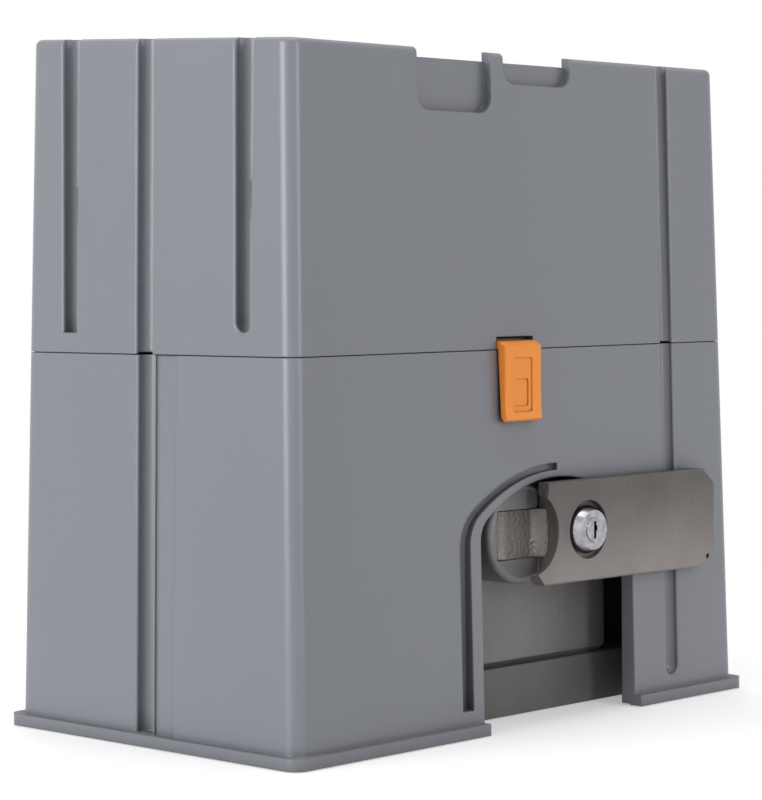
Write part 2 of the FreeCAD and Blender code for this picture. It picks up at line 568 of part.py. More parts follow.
def cover_screws():
    screws = []
    for x, z in cover_screw_places():
        head = cyl(4.5, V(x, CASE_Y1 + COVER_T, z), 5.0, Y)
        shank = cyl(2.5, V(x, CASE_Y1 - 11, z), 12.0 + COVER_T, Y)
        screws.append(fuse([head, shank]).cut(cyl(2.2, V(x, CASE_Y1 + COVER_T + 2.2, z), 4, Y)))
    return Part.makeCompound(screws)


def bearing(outer, inner, start, width, axis):
    # both rings and the shield between them, turned as one profile
    shell = ring(outer, inner, start, width, axis)
    mid = (outer + inner) / 2
    land = (outer - inner) * 0.28
    for place in (start - axis * 1.0, start + axis * (width - 0.6)):
        shell = shell.cut(ring(mid + land, mid - land, place, 1.6, axis))
    return shell


def hinge_pin():
    return cyl(HINGE_R, V(HINGE_X, HINGE_Y, AXIS_Z - 17.0), 34.0)


def oil_plug():
    head = cyl(8.5, V(CASE_X0 - 4.5, 10.0, 112.0), 4.5, X)
    shank = cyl(6.0, V(CASE_X0 - 1, 10.0, 112.0), 10.0, X)
    key = cyl(4.0, V(CASE_X0 - 6, 10.0, 112.0), 4.0, X)
    return fuse([head, shank]).cut(key)


def shaft_seal():
    body = ring(24.0, 15.0, V(0, 62.0, AXIS_Z), 8.0, Y)
    lip = ring(16.0, TAIL_R + RUN, V(0, 62.0, AXIS_Z), 2.5, Y)
    return fuse([body, lip])


def lock_keeper():
    post = box(44.0, 52.0, -76.6, CASE_Y0, 70.0, 96.0)
    lip = box(41.2, 46.0, -76.6, -74.4, 74.0, 92.0)
    window = box(38.0, 49.0, -74.4, -66.0, 73.0, 93.0)
    return fuse([post.cut(window), lip])


# ---- release lever ----------------------------------------------------------
def cam_outline(z):
    # the cam's height grows evenly with angle, so the rod moves in step with the lever
    rate = (CAM_HIGH - CAM_LOW) / (math.pi / 2)
    points = []
    steps = 12
    for k in range(steps + 1):
        turn = math.pi / 2 * k / steps
        height = CAM_LOW + rate * turn
        angle = math.pi / 2 + turn
        points.append(V(HINGE_X + height * math.cos(angle) - rate * math.sin(angle),
                        HINGE_Y + height * math.sin(angle) + rate * math.cos(angle), z))
    curve = Part.BSplineCurve()
    curve.interpolate(points)
    first, last = points[0], points[-1]
    front_left = V(HINGE_X, HINGE_Y - KNUCKLE_R, z)
    middle = V(HINGE_X - 5.6, HINGE_Y - 5.3, z)
    root = 22.0
    edges = [curve.toShape(), Part.Arc(last, middle, front_left).toShape(),
             Part.makeLine(front_left, V(root, front_left.y, z)),
             Part.makeLine(V(root, front_left.y, z), V(root, first.y, z)),
             Part.makeLine(V(root, first.y, z), first)]
    return Part.Wire(edges)


def lever_plate():
    low, high, right = 60.2, 105.4, LEVER_END
    outline = [V(0.5, 0, low + 0.8), V(113.0, 0, low), V(right, 0, low + 6.5), V(right, 0, high - 6.5),
               V(114.0, 0, high), V(3.4, 0, high), V(2.4, 0, 98.5), V(-4.8, 0, 92.0), V(-4.8, 0, 66.6)]
    outline = [p + V(0, PLATE_FRONT, 0) for p in outline]
    plate = prism(outline, V(0, PLATE_BACK - PLATE_FRONT, 0))
    front = [e for e in plate.Edges if e.BoundBox.YMax < PLATE_FRONT + 0.1 and e.BoundBox.XMax > 4]
    plate = plate.makeChamfer(0.8, front)
    back = rounded_box(52.0, right - 4, PLATE_FRONT + 3.4, PLATE_BACK + 2, low + 4, high - 4, 4.0, Y)
    ribs = [box(x - 1.2, x + 1.2, PLATE_FRONT, PLATE_BACK, low, high) for x in (74.0, 96.0)]
    return plate.cut(back.cut(fuse(ribs)))


def lever():
    plate = lever_plate()
    hub = cyl(BOSS_R, V(0, PLATE_BACK - 1, AXIS_Z), BOSS_Y - GAP - PLATE_BACK + 1, Y)
    hub = hub.common(box(CHEEK_X + 0.6, 40, -100, 0, 0, 200))
    tongue = Part.Face(cam_outline(AXIS_Z - TONGUE_H)).extrude(V(0, 0, 2 * TONGUE_H))
    root = box(CHEEK_X + 0.6, 22.0, PLATE_BACK - 1, HINGE_Y + CAM_LOW, AXIS_Z - TONGUE_H, AXIS_Z + TONGUE_H)
    body = fuse([plate, hub, root])
    # the plate's left end is scooped from an arc in front to a straight edge at the boss,
    # and the tongue curves up into it
    y_top, far = PLATE_FRONT - 0.5, -30.0
    low, high = SCOOP_Z - SCOOP_R, SCOOP_Z + SCOOP_R
    corner_low, arc_low = V(far, y_top, low), V(SCOOP_X, y_top, low)
    arc_high, corner_high = V(SCOOP_X, y_top, high), V(far, y_top, high)
    arc = Part.Arc(arc_low, V(SCOOP_X + SCOOP_R, y_top, SCOOP_Z), arc_high).toShape()
    mouth = Part.Wire([Part.makeLine(corner_low, arc_low), arc, Part.makeLine(arc_high, corner_high),
                       Part.makeLine(corner_high, corner_low)])
    floor_x, half = CHEEK_X + 0.6, SCOOP_R + 1.0
    floor = [V(far, BOSS_Y, AXIS_Z - half), V(floor_x, BOSS_Y, AXIS_Z - half),
             V(floor_x, BOSS_Y, AXIS_Z + half), V(far, BOSS_Y, AXIS_Z + half)]
    body = body.cut(Part.makeLoft([mouth, Part.makePolygon(floor + [floor[0]])], True, True))
    ramp = box(floor_x - RAMP_R, floor_x + 1, BOSS_Y - RAMP_R, BOSS_Y + 0.5,
               AXIS_Z - TONGUE_H, AXIS_Z + TONGUE_H)
    ramp = ramp.cut(cyl(RAMP_R, V(floor_x - RAMP_R, BOSS_Y - RAMP_R, 0), 200.0))
    body = fuse([body, ramp])
    body = fuse([body, tongue])
    cuts = [cyl(HINGE_R + RUN, V(HINGE_X, HINGE_Y, 0), 200.0)]
    cuts.append(cyl(11.3, V(LOCK_X, PLATE_FRONT - 1, LOCK_Z), 2.2, Y))
    cuts.append(cyl(8.0 + SEAT, V(LOCK_X, PLATE_FRONT - 1, LOCK_Z), 40.0, Y))
    cuts.append(cyl(NUT_R + 0.5, V(LOCK_X, PLATE_BACK, LOCK_Z), 20.0, Y))
    cuts.append(cyl(1.3, V(116.6, PLATE_FRONT - 1, 64.6), 10.0, Y))
    return body.cut(cuts)


def lock_body():
    face = PLATE_FRONT + 1.2
    nose = Part.makeCone(10.7, 8.7, 4.4, V(LOCK_X, face, LOCK_Z), -Y)
    barrel = cyl(8.0, V(LOCK_X, face, LOCK_Z), -74.3 - face, Y)
    return fuse([nose, barrel]).cut(cyl(PLUG_R + RUN, V(LOCK_X, -100, LOCK_Z), 40, Y))


def lock_nut():
    nut = ring(NUT_R, 8.0 + SEAT, V(LOCK_X, PLATE_BACK + 0.02, LOCK_Z), 4.0, Y)
    flats = [moved(box(-20, 20, -100, 0, NUT_R - 1, NUT_R + 9), V(LOCK_X, 0, LOCK_Z)),
             moved(box(-20, 20, -100, 0, -NUT_R - 9, 1 - NUT_R), V(LOCK_X, 0, LOCK_Z))]
    return nut.cut(flats)


def key_cylinder():
    plug = cyl(PLUG_R, V(LOCK_X, -96.4, LOCK_Z), 22.4, Y)
    keyway = box(LOCK_X - 0.8, LOCK_X + 0.8, -97, -84, LOCK_Z - 3.8, LOCK_Z + 3.8)
    wide = box(LOCK_X - 0.8, LOCK_X + 1.6, -97, -84, LOCK_Z - 0.4, LOCK_Z + 2.0)
    tail = cyl(3.0, V(LOCK_X, -74.5, LOCK_Z), 3.0, Y)
    return fuse([plug, tail]).cut([keyway, wide])


def lock_cam():
    blade = rounded_box(LOCK_X - 4.5, LOCK_X + 4.5, -73.9, -71.9, LOCK_Z - 5.5, LOCK_Z + 15.0, 3.0, Y)
    return blade.cut(cyl(3.0 + SEAT, V(LOCK_X, -80, LOCK_Z), 20, Y))


def release_rod():
    y_head = HINGE_Y + CAM_LOW + GAP
    head = rounded_box(-15.5, 8.0, y_head, y_head + 3.2, AXIS_Z - 8, AXIS_Z + 8, 3.0, Y)
    rod = cyl(3.0, V(0, y_head + 1, AXIS_Z), CLUTCH_PIN_Y - 2.5 - GAP - y_head - 1, Y)
    return fuse([head, rod])


# ---- output shaft, wheel and clutch -----------------------------------------
def dogs(inner, outer, width_deg, y0, y1):
    blocks = []
    for k in range(4):
        half = math.radians(width_deg / 2)
        corners = [(inner, -half), (outer, -half), (outer, half), (inner, half)]
        points = [V(r * math.cos(a), y0, r * math.sin(a)) for r, a in corners]
        block = prism(points, V(0, y1 - y0, 0))
        block.rotate(V(0, 0, 0), Y, 90 * k + 45)
        blocks.append(moved(block, V(0, 0, AXIS_Z)))
    return blocks


def output_shaft():
    def at(y):
        return V(0, y, AXIS_Z)
    shaft = fuse([cyl(SHAFT_R, at(-45.5), 80.0, Y), cyl(15.0, at(-33.6), 18.0, Y),
                  cyl(15.0, at(33.6), 10.2, Y), cyl(TAIL_R, at(43.0), PINION_Y - 0.02 - 43.0, Y),
                  cyl(SHAFT_R, at(86.0), PINION_Y + PINION_W - 86.0 - 0.3, Y)])
    shaft = shaft.cut([cyl(3.0 + RUN, at(-60.0), 84.0, Y), cyl(4.0 + SEAT, at(92.0), 30.0, Y)])
    slot_end = CLUTCH_PIN_Y + RELEASE + 3.0
    shaft = shaft.cut(box(-20, 20, CLUTCH_PIN_Y - 2.9, slot_end, AXIS_Z - 2.8, AXIS_Z + 2.8))
    keyway = box(-KEY_W / 2 - SEAT, KEY_W / 2 + SEAT, PINION_Y + 1, PINION_Y + PINION_W - 1,
                 AXIS_Z + SHAFT_R - 2.5, AXIS_Z + 20)
    return shaft.cut(keyway)


def wheel_teeth():
    # each tooth is leaned over by the worm's lead angle, side to side
    root, tip = WHEEL_R - 1.25 * GEAR_M, WHEEL_R + 0.9 * GEAR_M
    width = 8.0
    lead = math.atan(GEAR_M / (2 * WORM_R))
    lean = width * math.tan(lead) / WHEEL_R
    teeth = []
    for k in range(WHEEL_T):
        sections = []
        for y, turn in ((-width, lean), (width, -lean)):
            centre = 2 * math.pi * (k + 0.5) / WHEEL_T + turn
            points = []
            for radius, half in ((root - 1.0, 2.5), (WHEEL_R, 1.6), (tip, 0.85), (tip, -0.85),
                                 (WHEEL_R, -1.6), (root - 1.0, -2.5)):
                angle = centre + half / radius
                points.append(V(radius * math.cos(angle), y, AXIS_Z + radius * math.sin(angle)))
            sections.append(Part.makePolygon(points + [points[0]]))
        teeth.append(Part.makeLoft(sections, True, True))
    return teeth


def wheel_rim():
    core = ring(WHEEL_R - 1.25 * GEAR_M, 27.0 + SEAT, V(0, -8.0, AXIS_Z), 16.0, Y)
    return core.fuse(wheel_teeth())


def wheel_hub():
    hub = fuse([cyl(27.0, V(0, -8.0, AXIS_Z), 16.0, Y), cyl(20.0, V(0, -15.0, AXIS_Z), 24.0, Y)])
    groove = ring(25.0, 21.5, V(0, 4.0, AXIS_Z), 8.0, Y)
    bore = cyl(SHAFT_R + RUN, V(0, -30, AXIS_Z), 60.0, Y)
    return hub.cut([bore, groove] + dogs(10.5, 18.4, 30.0, 5.8, 12.0))


def clutch_sleeve():
    sleeve = ring(18.0, SHAFT_R + RUN, V(0, CLUTCH_Y, AXIS_Z), 10.0, Y)
    sleeve = fuse([sleeve] + dogs(11.0, 17.0, 26.0, CLUTCH_Y - DOG_DEPTH, CLUTCH_Y + 1))
    return sleeve.cut(cyl(2.5 + SEAT, V(-30, CLUTCH_PIN_Y, AXIS_Z), 60.0, X))


def clutch_pin():
    return cyl(2.5, V(-17.6, CLUTCH_PIN_Y, AXIS_Z), 35.2, X)


def clutch_spring():
    # four disc springs stacked edge to edge
    inner, outer, plate, rise = SHAFT_R + 0.5, 14.6, 0.7, 1.0
    discs = []
    for k in range(4):
        y0 = 33.5 - (k + 1) * (plate + rise)
        inside, outside = (y0 + rise, y0) if k % 2 else (y0, y0 + rise)
        points = [V(inner, inside, 0), V(outer, outside, 0),
                  V(outer, outside + plate, 0), V(inner, inside + plate, 0)]
        discs.append(Part.Face(Part.makePolygon(points + [points[0]])).revolve(V(0, 0, 0), Y, 360))
    return moved(fuse(discs), V(0, 0, AXIS_Z))


def pinion():
    # straight-flanked rack pinion with relieved tooth tips
    radius = PINION_M * PINION_T / 2
    root, tip = radius - 1.25 * PINION_M, radius + PINION_M
    points = []
    for k in range(PINION_T):
        centre = 2 * math.pi * k / PINION_T
        for r, half in ((root, 4.4), (radius, 2.95), (tip - 0.5, 1.55), (tip, 1.1),
                        (tip, -1.1), (tip - 0.5, -1.55), (radius, -2.95), (root, -4.4)):
            angle = centre - half / r
            points.append(V(r * math.cos(angle), PINION_Y, AXIS_Z + r * math.sin(angle)))
    blank = prism(points, V(0, PINION_W, 0))
    dish = ring(26.0, 16.5, V(0, PINION_Y + PINION_W - 3, AXIS_Z), 5.0, Y)
    keyway = box(-KEY_W / 2 - SEAT, KEY_W / 2 + SEAT, PINION_Y - 1, PINION_Y + PINION_W + 1,
                 AXIS_Z, AXIS_Z + SHAFT_R + 2.6)
    return blank.cut([cyl(SHAFT_R + SEAT, V(0, 80, AXIS_Z), 60.0, Y), dish, keyway])


def pinion_key():
    return box(-KEY_W / 2, KEY_W / 2, PINION_Y + 1.2, PINION_Y + PINION_W - 1.2,
               AXIS_Z + SHAFT_R - 2.46, AXIS_Z + SHAFT_R + 2.5)


def pinion_washer():
    return ring(14.0, 4.3, V(0, PINION_Y + PINION_W + 0.02, AXIS_Z), 3.0, Y)


def pinion_bolt():
    y0 = PINION_Y + PINION_W + 3.04
    points = [V(7.5 * math.cos(math.radians(60 * k)), y0, AXIS_Z + 7.5 * math.sin(math.radians(60 * k)))
              for k in range(6)]
    head = prism(points, V(0, 5.3, 0))
    return fuse([head, cyl(4.0, V(0, 93.0, AXIS_Z), y0 - 92.0, Y)])


# ---- worm and motor ---------------------------------------------------------
def worm_shaft():
    at = lambda z: V(WORM_X, 0, z)
    root = WORM_R - 1.2 * GEAR_M
    shaft = fuse([cyl(6.0, at(31.0), 9.0), cyl(root, at(39.6), 78.2), cyl(8.0, at(117.0), 125.0),
                  cyl(6.0, at(240.0), 18.0)])
    return shaft.fuse(worm_thread())


def worm_thread():
    pitch = math.pi * GEAR_M
    turns = 4.0
    root, tip = WORM_R - 1.2 * GEAR_M, WORM_R + 0.9 * GEAR_M
    helix = Part.makeHelix(pitch, pitch * turns, WORM_R)
    profile = Part.makePolygon([V(root - 0.6, 0, -2.35), V(tip, 0, -0.85), V(tip, 0, 0.85),
                                V(root - 0.6, 0, 2.35), V(root - 0.6, 0, -2.35)])
    thread = Part.Wire(helix).makePipeShell([Part.Wire(profile)], True, True)
    # a space between wheel teeth lies on the +X line, so a thread crest must meet it there
    thread.rotate(V(0, 0, 0), Z, 180)
    return moved(thread, V(WORM_X, 0, AXIS_Z - pitch * turns / 2))


def motor_housing():
    at = lambda z: V(WORM_X, 0, z)
    tube = ring(MOTOR_R - 4, MOTOR_R - 8, at(MOTOR_Z0 + 6), MOTOR_Z1 - MOTOR_Z0 - 6)
    foot = cyl(MOTOR_R - 1, at(MOTOR_Z0 + 0.02), 7.0)
    foot = foot.common(box(-10, 120, -40, 40, 100, 200))
    fins = []
    for k in range(24):
        fin = box(MOTOR_R - 5.5, MOTOR_R, -1.1, 1.1, MOTOR_Z0 + 10, MOTOR_Z1)
        fin.rotate(V(0, 0, 0), Z, 15 * k + 7.5)
        fins.append(moved(fin, at(0)))
    housing = fuse([tube, foot] + fins)
    cuts = [cyl(16.0 + SEAT, at(130.0), 12.0), cyl(12.0, at(130), 20)]
    for x, y in motor_bolt_places():
        cuts.append(cyl(2.5 + SEAT, V(x, y, 130), 30))
    return housing.cut(cuts)


def motor_bolts():
    bolts = []
    for x, y in motor_bolt_places():
        shank = cyl(2.5, V(x, y, CASE_TOP - 11), 11 + 7.04)
        bolts.append(fuse([shank, cyl(4.2, V(x, y, MOTOR_Z0 + 7.04), 3.6)]))
    return Part.makeCompound(bolts)


def stator_core():
    at = lambda z: V(WORM_X, 0, z)
    core = ring(MOTOR_R - 8 - SEAT, ROTOR_R + AIR_GAP, at(160.0), 46.0)
    for k in range(12):
        slot = box(ROTOR_R + 3.0, MOTOR_R - 12, -2.2, 2.2, 158.0, 208.0)
        slot.rotate(V(0, 0, 0), Z, 30 * k)
        mouth = box(ROTOR_R - 1, ROTOR_R + 4, -0.8, 0.8, 158.0, 208.0)
        mouth.rotate(V(0, 0, 0), Z, 30 * k)
        core = core.cut([moved(slot, at(0)), moved(mouth, at(0))])
    return core


def stator_winding():
    at = lambda z: V(WORM_X, 0, z)
    ends = []
    for z in (150.4, 206.02):
        end = ring(MOTOR_R - 11, ROTOR_R + 2.2, at(z), 9.58)
        ends.append(end.makeChamfer(2.2, [e for e in end.Edges if len(e.Vertexes) == 1 and e.Length > 10]))
    return Part.makeCompound(ends)


def rotor_core():
    at = lambda z: V(WORM_X, 0, z)
    core = ring(ROTOR_R, 8.0 + SEAT, at(160.0), 46.0)
    rings = [ring(ROTOR_R - 1.4, 19.0, at(z), 5.0) for z in (155.0, 206.0)]
    return fuse([core] + rings)


def end_bell():
    at = lambda z: V(WORM_X, 0, z)
    rim = ring(MOTOR_R - 2.5, MOTOR_R - 8, at(MOTOR_Z1 + 0.02), 4.0)
    web = ring(MOTOR_R - 6, 15.0, at(MOTOR_Z1 + 4), 4.0)
    hub = ring(18.0, 13.0 + SEAT, at(MOTOR_Z1 + 2), 13.0)
    cap = ring(16.0, 9.0, at(MOTOR_Z1 + 13), 3.0)
    return fuse([rim, web, hub, cap])


def cooling_fan():
    at = lambda z: V(WORM_X, 0, z)
    z0 = 246.0
    hub = ring(11.0, 6.0 + SEAT, at(z0), 10.0)
    disc = ring(MOTOR_R - 10, 10.0, at(z0), 2.0)
    blades = []
    for k in range(8):
        blade = box(10.0, MOTOR_R - 11, -0.9, 0.9, z0 + 1, z0 + 9)
        blade.rotate(V(20, 0, 0), Z, 18)
        blade.rotate(V(0, 0, 0), Z, 45 * k)
        blades.append(moved(blade, at(0)))
    return fuse([hub, disc] + blades)


def fan_cowl():
    at = lambda z: V(WORM_X, 0, z)
    wall = ring(MOTOR_R, MOTOR_R - 2.5 + SEAT, at(MOTOR_Z1 + 0.3), 36.0)
    top = ring(MOTOR_R - 1, 10.0, at(MOTOR_Z1 + 34.3), 2.0)
    cowl = fuse([wall, top])
    slots = []
    for k in range(12):
        slot = box(16.0, MOTOR_R - 8, -2.4, 2.4, MOTOR_Z1 + 30, MOTOR_Z1 + 40)
        slot.rotate(V(0, 0, 0), Z, 30 * k)
        slots.append(moved(slot, at(0)))
    return cowl.cut(slots)


# ---- electrics --------------------------------------------------------------
def board_bracket():
    plate = rounded_box(BRACKET_X - 2.5, BRACKET_X, -58, 58, DECK_Z + 0.02, 242.0, 6.0, X)
    foot = box(BRACKET_X - 1, BRACKET_X + 9, -58, 58, DECK_Z + 0.02, DECK_Z + 2.5)
    posts = [cyl(3.5, V(BOARD_X + 0.02, y, z), BRACKET_X - 2 - BOARD_X, X) for y, z in STANDOFFS]
    flanges = [box(BRACKET_X - 9, BRACKET_X, s * 58 - 2 * (s > 0), s * 58 + 2 * (s < 0), 30.0, 234.0)
               for s in (1, -1)]
    bracket = fuse([plate, foot] + posts + flanges)
    return bracket.cut([cyl(1.5, V(BOARD_X - 1, y, z), 10.0, X) for y, z in STANDOFFS])


def control_board():
    board = box(BOARD_X - BOARD_T, BOARD_X, -BOARD_Y, BOARD_Y, BOARD_Z0, BOARD_Z1)
    return board.cut([cyl(1.6, V(BOARD_X - 5, y, z), 10.0, X) for y, z in STANDOFFS])


def board_face():
    return BOARD_X - BOARD_T - 0.02


def board_screws():
    screws = []
    for y, z in STANDOFFS:
        shank = cyl(1.48, V(board_face() - 1, y, z), 8.0, X)
        screws.append(fuse([shank, cyl(2.9, V(board_face() - 2.0, y, z), 2.0, X)]))
    return Part.makeCompound(screws)


def terminal_blocks():
    blocks = []
    face = board_face()
    for z0, z1, y0 in ((108.0, 160.0, -50.0), (164.0, 220.0, -50.0), (108.0, 150.0, 38.0)):
        block = box(face - 14, face, y0, y0 + 12, z0, z1)
        count = int((z1 - z0 - 1) / 5.2)
        for k in range(count):
            z = z0 + 3.2 + 5.2 * k
            block = block.cut([cyl(1.8, V(face - 15, y0 + 7.5, z), 4.0, X),
                               box(face - 8, face - 3, y0 - 1, y0 + 4, z - 1.7, z + 1.7)])
        blocks.append(block)
    return Part.makeCompound(blocks)


def relays():
    face = board_face()
    cans = [box(face - 16, face, 8.0, 28.0, z, z + 16) for z in (112.0, 132.0)]
    return Part.makeCompound([can.makeFillet(1.2, edges_along(can, X)) for can in cans])


def control_chip():
    face = board_face()
    body = box(face - 3.4, face, -20.0, -6.0, 150.0, 184.0)
    legs = [box(face - 1.2, face, min(y, -13), max(y, -13), 152.0 + 2.54 * k, 153.0 + 2.54 * k)
            for k in range(12) for y in (-22.0, -4.0)]
    return fuse([body] + legs)


def button_body():
    face = board_face()
    body = box(face - 6, face, BUTTON_Y - 6, BUTTON_Y + 6, BUTTON_Z - 6, BUTTON_Z + 6)
    return body.cut(cyl(3.6, V(face - 7, BUTTON_Y, BUTTON_Z), 5.0, X))


def program_button():
    face = board_face()
    return fuse([cyl(3.3, V(face - 10.0, BUTTON_Y, BUTTON_Z), 6.6, X)])


def transformer_core():
    core = box(-102.0, -68.0, -46.0, 6.0, DECK_Z + 0.02, DECK_Z + 42)
    windows = [box(-103, -67, y, y + 10, DECK_Z + 10, DECK_Z + 32) for y in (-36.0, -14.0)]
    return core.cut(windows)


def transformer_coil():
    coil = box(-106.0, -65.6, -35.9, -4.1, DECK_Z + 10.1, DECK_Z + 31.9)
    leg = box(-102.02, -67.98, -26.02, -13.98, DECK_Z + 5, DECK_Z + 36)
    coil = coil.makeFillet(2.0, edges_along(coil, Z))
    return coil.cut(leg)


def capacitor():
    body = cyl(14.0, V(90.0, 30.0, DECK_Z + 0.02), 86.0)
    body = body.makeChamfer(1.2, [e for e in body.Edges if e.Closed and e.Length > 10])
    tabs = [box(90.0 + dx - 0.4, 90.0 + dx + 0.4, 27.0, 33.0, DECK_Z + 84, DECK_Z + 94) for dx in (-5.0, 5.0)]
    return fuse([body] + tabs)


def capacitor_clip():
    band = ring(15.2, 14.0 + SEAT, V(90.0, 30.0, DECK_Z + 20), 12.0)
    leg = box(88.0, 92.0, 44.2, 46.0, DECK_Z + 0.02, DECK_Z + 32)
    foot = box(84.0, 96.0, 44.2, 56.0, DECK_Z + 0.02, DECK_Z + 2)
    return fuse([band, leg, foot])


def limit_sensor():
    y0 = CASE_Y1 + COVER_T + 0.02
    body = rounded_box(-48.0, -37.0, y0, y0 + 18, 90.0, 112.0, 1.5, Y)
    nose = cyl(4.0, V(-42.5, y0 + 17, 101.0), 4.0, Y)
    return fuse([body, nose])


PARTS = {
    "base_frame": base_frame, "gear_case": gear_case, "case_cover": case_cover,
    "case_bolts": case_bolts, "cover_screws": cover_screws, "oil_plug": oil_plug,
    "shaft_seal": shaft_seal, "lever_hinge_pin": hinge_pin, "lock_keeper": lock_keeper,
    "skirt": skirt, "skirt_screws": skirt_screws, "rim_seal": rim_seal, "hood": hood,
    "lever": lever, "lock_body": lock_body, "lock_nut": lock_nut, "key_cylinder": key_cylinder,
    "lock_cam": lock_cam, "release_rod": release_rod, "output_shaft": output_shaft,
    "wheel_rim": wheel_rim, "wheel_hub": wheel_hub, "clutch_sleeve": clutch_sleeve,
    "clutch_pin": clutch_pin, "clutch_spring": clutch_spring, "pinion": pinion,
    "pinion_key": pinion_key, "pinion_washer": pinion_washer, "pinion_bolt": pinion_bolt,
    "worm_shaft": worm_shaft, "motor_housing": motor_housing, "motor_bolts": motor_bolts,
    "stator_core": stator_core, "stator_winding": stator_winding, "rotor_core": rotor_core,
    "end_bell": end_bell, "cooling_fan": cooling_fan, "fan_cowl": fan_cowl,
    "board_bracket": board_bracket, "control_board": control_board, "board_screws": board_screws,
    "terminal_blocks": terminal_blocks, "relays": relays, "control_chip": control_chip,
    "button_body": button_body, "program_button": program_button,
    "transformer_core": transformer_core, "transformer_coil": transformer_coil,
    "capacitor": capacitor, "capacitor_clip": capacitor_clip, "limit_sensor": limit_sensor,
}

for name, build in PARTS.items():
    save(name, build())
for side in LATCHES:
    save(side + "_latch", latch(side))
    save(side + "_latch_pin", latch_pin(side))

save("front_bearing", bearing(17.5, SHAFT_R + SEAT, V(0, -46.0, AXIS_Z), 12.0, Y))
save("rear_bearing", bearing(26.0, TAIL_R + SEAT, V(0, 44.0, AXIS_Z), 12.0, Y))
save("worm_foot_bearing", bearing(13.0, 6.0 + SEAT, V(WORM_X, 0, 30.0), 9.0, Z))
save("worm_head_bearing", bearing(16.0, 8.0 + SEAT, V(WORM_X, 0, 118.0), 12.0, Z))
save("motor_top_bearing", bearing(13.0, 8.0 + SEAT, V(WORM_X, 0, 229.0), 10.0, Z))
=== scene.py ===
import bpy
import bmesh
import math
from mathutils import Matrix, Vector


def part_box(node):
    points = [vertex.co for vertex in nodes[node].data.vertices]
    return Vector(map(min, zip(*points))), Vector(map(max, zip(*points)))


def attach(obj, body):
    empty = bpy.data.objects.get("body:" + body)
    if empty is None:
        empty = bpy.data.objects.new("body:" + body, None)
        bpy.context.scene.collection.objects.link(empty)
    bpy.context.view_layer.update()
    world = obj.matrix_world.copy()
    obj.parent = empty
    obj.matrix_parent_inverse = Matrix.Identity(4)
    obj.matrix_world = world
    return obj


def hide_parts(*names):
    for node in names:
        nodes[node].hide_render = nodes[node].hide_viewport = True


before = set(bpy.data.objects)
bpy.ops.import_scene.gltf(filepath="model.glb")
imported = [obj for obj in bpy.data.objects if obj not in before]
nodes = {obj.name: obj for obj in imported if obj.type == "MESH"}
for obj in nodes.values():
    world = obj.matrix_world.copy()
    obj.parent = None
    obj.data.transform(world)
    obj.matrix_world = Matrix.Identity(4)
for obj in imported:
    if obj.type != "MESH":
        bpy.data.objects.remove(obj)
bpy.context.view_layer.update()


# ---- base --------------------------------------------------------------------
# The base is one ribbed tray, cast and dipped in a dark bronze-grey primer. It stands on
# the plinth, four anchor slots at its ends take the studs, and everything bolts to it.
def linear(red, green, blue):
    # a colour written as 0 to 255 screen values, as the shader wants it
    def channel(value):
        value = value / 255
        return value / 12.92 if value <= 0.04045 else ((value + 0.055) / 1.055) ** 2.4
    return channel(red), channel(green), channel(blue), 1.0


def tinted(colour, factor):
    return tuple(min(1.0, channel * factor) for channel in colour[:3]) + (1.0,)


def new_finish(name):
    finish = bpy.data.materials.new(name)
    finish.use_nodes = True
    tree = finish.node_tree
    shader = tree.nodes["Principled BSDF"]
    place = tree.nodes.new("ShaderNodeTexCoord")
    return finish, tree, shader, place


def add_noise(tree, place, scale, detail=4.0, stretch=(1.0, 1.0, 1.0)):
    mapping = tree.nodes.new("ShaderNodeMapping")
    mapping.inputs["Scale"].default_value = stretch
    tree.links.new(place.outputs["Object"], mapping.inputs["Vector"])
    noise = tree.nodes.new("ShaderNodeTexNoise")
    noise.inputs["Scale"].default_value = scale
    noise.inputs["Detail"].default_value = detail
    tree.links.new(mapping.outputs["Vector"], noise.inputs["Vector"])
    return noise.outputs["Fac"]


def ramp_between(tree, factor, low, high, start=0.3, end=0.7):
    ramp = tree.nodes.new("ShaderNodeValToRGB")
    ramp.color_ramp.elements[0].position = start
    ramp.color_ramp.elements[0].color = low
    ramp.color_ramp.elements[1].position = end
    ramp.color_ramp.elements[1].color = high
    tree.links.new(factor, ramp.inputs["Fac"])
    return ramp.outputs["Color"]


def vary_roughness(tree, shader, factor, smoothest, roughest):
    level = tree.nodes.new("ShaderNodeMapRange")
    level.inputs["To Min"].default_value = smoothest
    level.inputs["To Max"].default_value = roughest
    tree.links.new(factor, level.inputs["Value"])
    tree.links.new(level.outputs["Result"], shader.inputs["Roughness"])


def add_relief(tree, shader, height, strength, distance, edge=0.0):
    # fine surface relief, laid over edges that are very slightly rounded
    bump = tree.nodes.new("ShaderNodeBump")
    bump.inputs["Strength"].default_value = strength
    bump.inputs["Distance"].default_value = distance
    tree.links.new(height, bump.inputs["Height"])
    if edge:
        rounding = tree.nodes.new("ShaderNodeBevel")
        rounding.samples = 6
        rounding.inputs["Radius"].default_value = edge
        tree.links.new(rounding.outputs["Normal"], bump.inputs["Normal"])
    tree.links.new(bump.outputs["Normal"], shader.inputs["Normal"])


